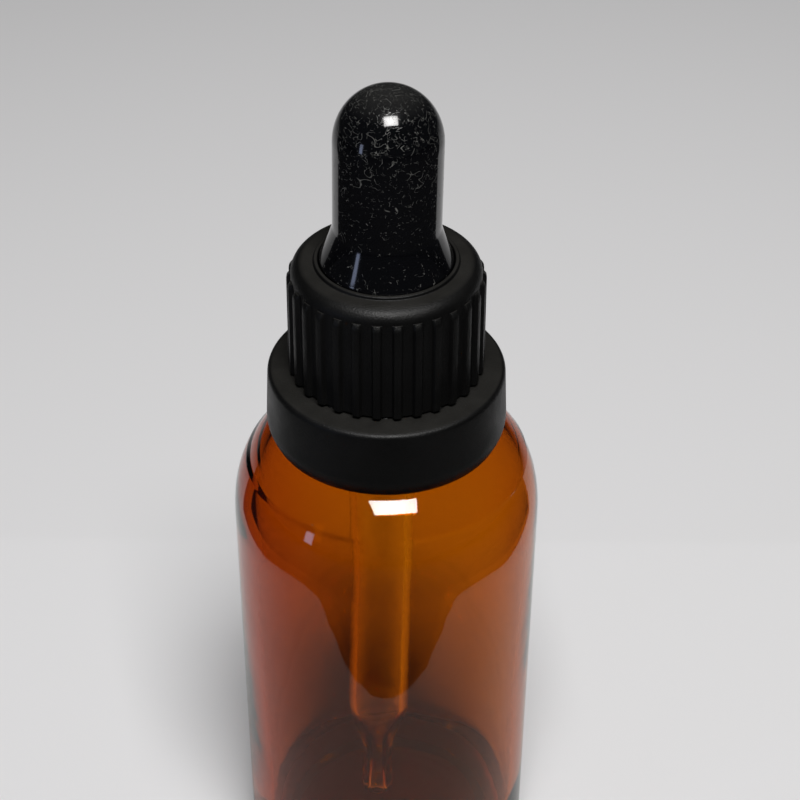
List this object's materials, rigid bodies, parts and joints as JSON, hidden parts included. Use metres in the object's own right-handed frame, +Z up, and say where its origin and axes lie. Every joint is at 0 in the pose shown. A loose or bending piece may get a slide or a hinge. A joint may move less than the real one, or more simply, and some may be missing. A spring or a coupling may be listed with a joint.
{
  "type": "medicine dropper bottle",
  "caption": "Amber glass dropper bottle: ribbed screw cap with a rubber squeeze bulb and a glass pipette that reaches the floor, over a tamper-evident band on the neck.",
  "frame": {"origin": "centre of the bottle's foot, on the surface it stands on", "axes": "+Z up along the bottle's axis, -Y to the front, +X to the right"},
  "size_m": [0.0376, 0.0374, 0.1165],
  "materials": {
    "amber_glass": "amber moulded glass",
    "clear_glass": "clear drawn glass",
    "black_plastic": "fine matt texture",
    "black_rubber": "satin rubber"
  },
  "bodies": {
    "bottle": {"glass_bottle": "amber_glass"},
    "band": {"tamper_band": "black_plastic", "break_bridges": "black_plastic"},
    "pipette": {"glass_pipette": "clear_glass"},
    "cap": {"screw_cap": "black_plastic"},
    "bulb": {"rubber_bulb": "black_rubber"}
  },
  "joints": [
    {"name": "band_turn", "type": "hinge", "parent": "bottle", "child": "band", "pos_m": [0, 0, 0.0762], "axis": [0, 0, 1], "continuous": true},
    {"name": "dropper_lift", "type": "slide", "parent": "bottle", "child": "pipette", "axis": [0, 0, 1], "range_m": [0, 0.095]},
    {"name": "cap_turn", "type": "hinge", "parent": "pipette", "child": "cap", "pos_m": [0, 0, 0.0881], "axis": [0, 0, 1], "range_deg": [0, 540]},
    {"name": "bulb_press", "type": "slide", "parent": "pipette", "child": "bulb", "axis": [0, 0, -1], "range_m": [0, 0.006], "stiffness_N_per_m": 600, "deforming": ["rubber_bulb"]}
  ]
}
